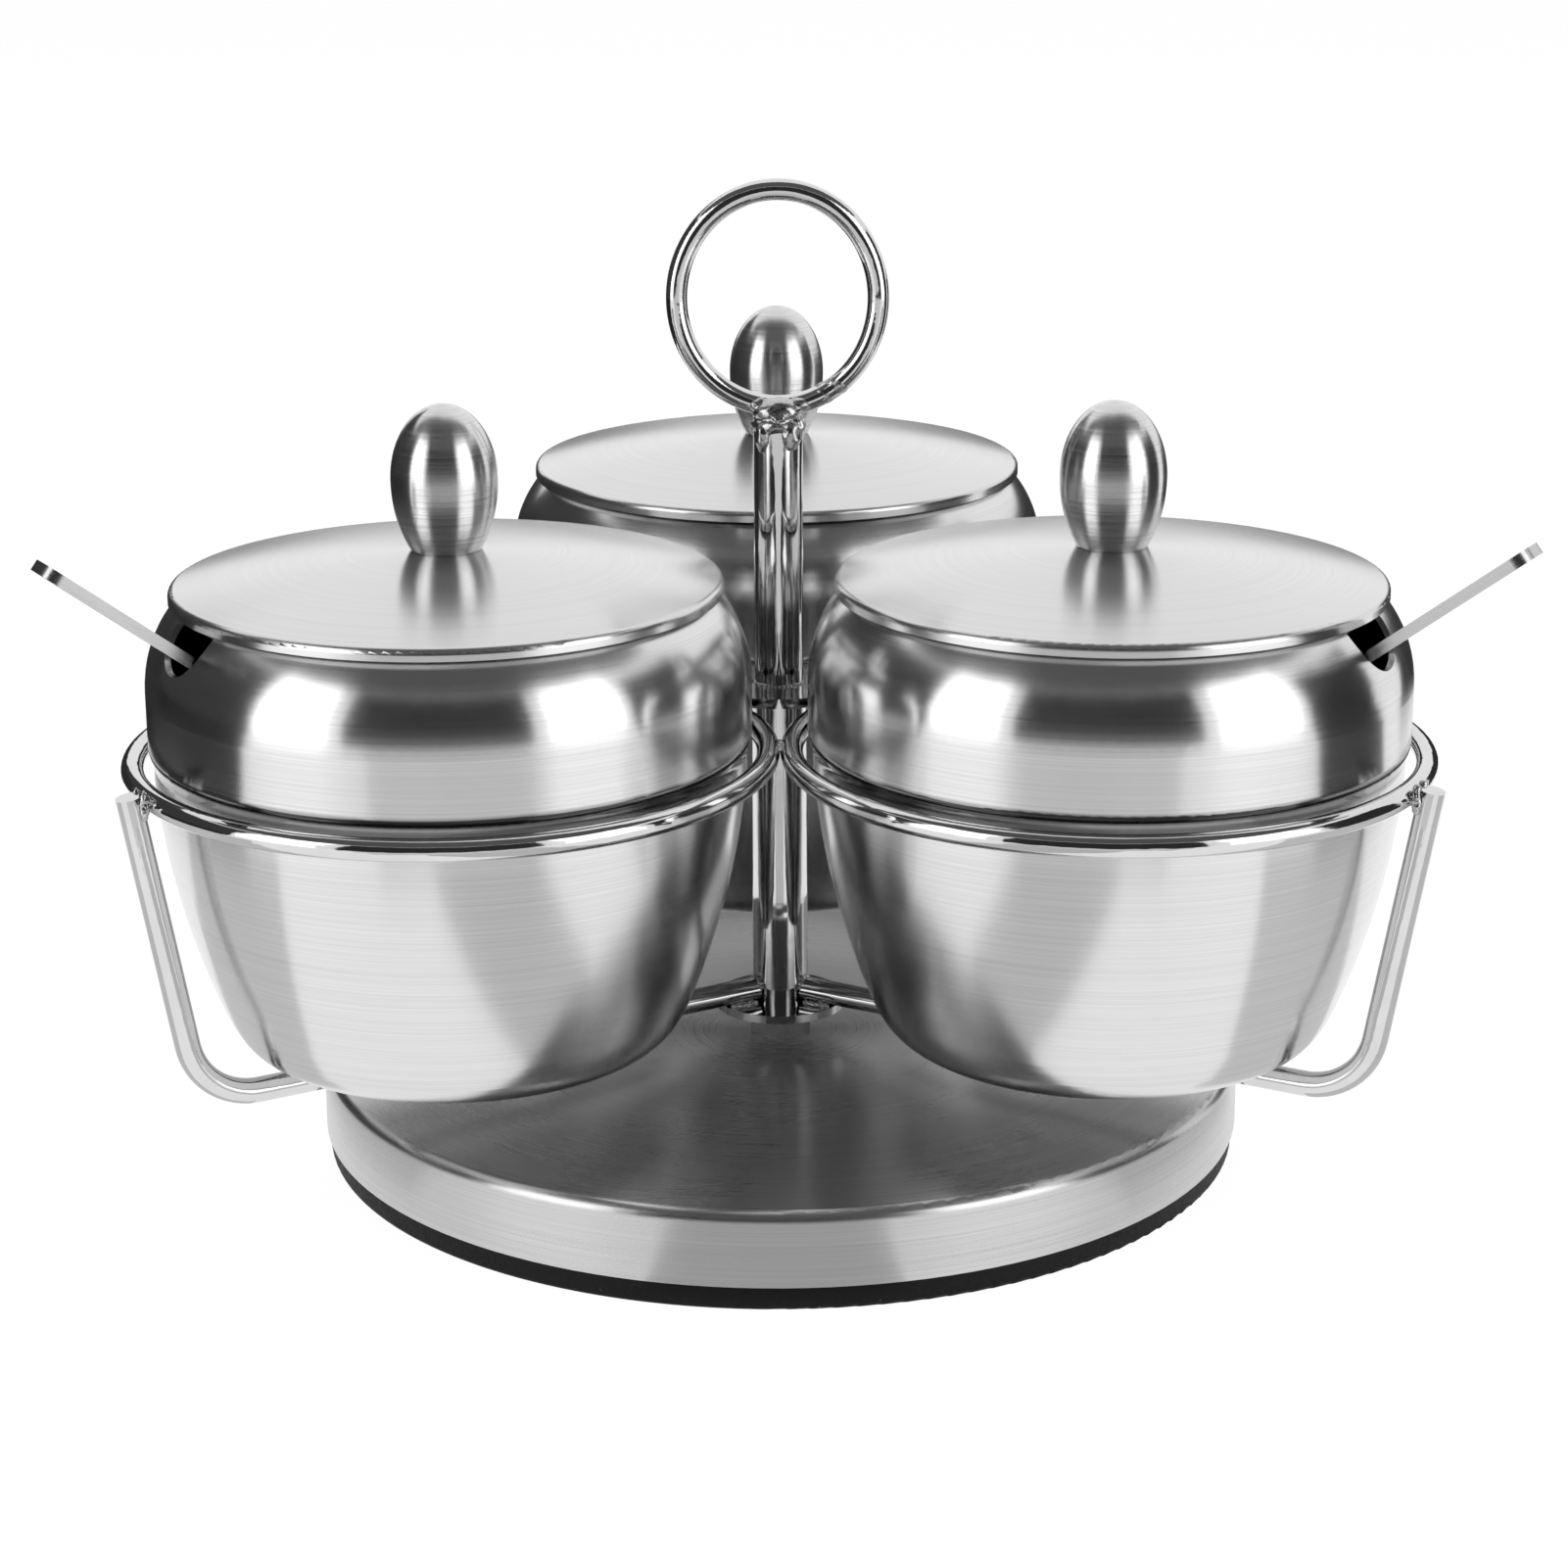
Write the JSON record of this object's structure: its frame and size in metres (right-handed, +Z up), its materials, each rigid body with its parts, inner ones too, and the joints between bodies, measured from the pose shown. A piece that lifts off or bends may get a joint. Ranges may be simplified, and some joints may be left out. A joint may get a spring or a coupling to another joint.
{
  "type": "rotating condiment caddy",
  "caption": "Round base carrying a turning wire rack of lidded steel condiment pots, each with a spoon through a slot, and a carrying ring on the column.",
  "frame": {"origin": "centre of the base's resting face, on the column's axis", "axes": "+Z up along the column, +Y towards the rear pot, +X to the right seen from the front; the handle ring lies in the XZ plane"},
  "size_m": [0.2482, 0.233, 0.1798],
  "materials": {
    "base_steel": "circular brushed",
    "plain_steel": "plain sheet",
    "foot_rubber": "satin black",
    "fastener_steel": "bright",
    "polished_steel": "polished",
    "wire_steel": "polished",
    "pot_steel": "brushed round the barrel, polished below",
    "lid_steel": "polished",
    "knob_steel": "polished",
    "spoon_steel": "polished"
  },
  "bodies": {
    "base": {"base_cap": "base_steel", "base_stiffener": "plain_steel", "base_bottom_plate": "plain_steel", "base_foot_ring": "foot_rubber"},
    "rack": {"pivot_bolt": "fastener_steel", "pivot_washer": "fastener_steel", "pivot_nut": "fastener_steel", "hub_washer": "polished_steel", "column_lower": "polished_steel", "top_plate": "polished_steel", "column_upper": "polished_steel", "handle_ring": "polished_steel", "hoop_rear": "wire_steel", "hoop_left": "wire_steel", "hoop_right": "wire_steel", "cradle_leg_rear": "wire_steel", "cradle_leg_left": "wire_steel", "cradle_leg_right": "wire_steel"},
    "rear_pot": {"pot_rear": "pot_steel"},
    "rear_lid": {"lid_rear": "lid_steel", "lid_collar_rear": "plain_steel", "knob_rear": "knob_steel", "knob_screw_rear": "fastener_steel"},
    "rear_spoon": {"spoon_rear": "spoon_steel"},
    "left_pot": {"pot_left": "pot_steel"},
    "left_lid": {"lid_left": "lid_steel", "lid_collar_left": "plain_steel", "knob_left": "knob_steel", "knob_screw_left": "fastener_steel"},
    "left_spoon": {"spoon_left": "spoon_steel"},
    "right_pot": {"pot_right": "pot_steel"},
    "right_lid": {"lid_right": "lid_steel", "lid_collar_right": "plain_steel", "knob_right": "knob_steel", "knob_screw_right": "fastener_steel"},
    "right_spoon": {"spoon_right": "spoon_steel"}
  },
  "joints": [
    {"name": "carousel_spin", "type": "hinge", "parent": "base", "child": "rack", "pos_m": [0, 0, 0.0188], "axis": [0, 0, 1], "continuous": true},
    {"name": "rear_pot_lift", "type": "slide", "parent": "rack", "child": "rear_pot", "axis": [0, 0.1392, 0.9903], "range_m": [0, 0.11]},
    {"name": "rear_lid_lift", "type": "slide", "parent": "rear_pot", "child": "rear_lid", "axis": [0, 0.1045, 0.9945], "range_m": [0, 0.06]},
    {"name": "rear_spoon_draw", "type": "slide", "parent": "rear_pot", "child": "rear_spoon", "axis": [0, 0.7902, 0.6128], "range_m": [0, 0.055]},
    {"name": "left_pot_lift", "type": "slide", "parent": "rack", "child": "left_pot", "axis": [-0.1205, -0.0696, 0.9903], "range_m": [0, 0.11]},
    {"name": "left_lid_lift", "type": "slide", "parent": "left_pot", "child": "left_lid", "axis": [-0.0905, -0.0523, 0.9945], "range_m": [0, 0.06]},
    {"name": "left_spoon_draw", "type": "slide", "parent": "left_pot", "child": "left_spoon", "axis": [-0.6843, -0.3951, 0.6128], "range_m": [0, 0.055]},
    {"name": "right_pot_lift", "type": "slide", "parent": "rack", "child": "right_pot", "axis": [0.1205, -0.0696, 0.9903], "range_m": [0, 0.11]},
    {"name": "right_lid_lift", "type": "slide", "parent": "right_pot", "child": "right_lid", "axis": [0.0905, -0.0523, 0.9945], "range_m": [0, 0.06]},
    {"name": "right_spoon_draw", "type": "slide", "parent": "right_pot", "child": "right_spoon", "axis": [0.6843, -0.3951, 0.6128], "range_m": [0, 0.055]}
  ]
}
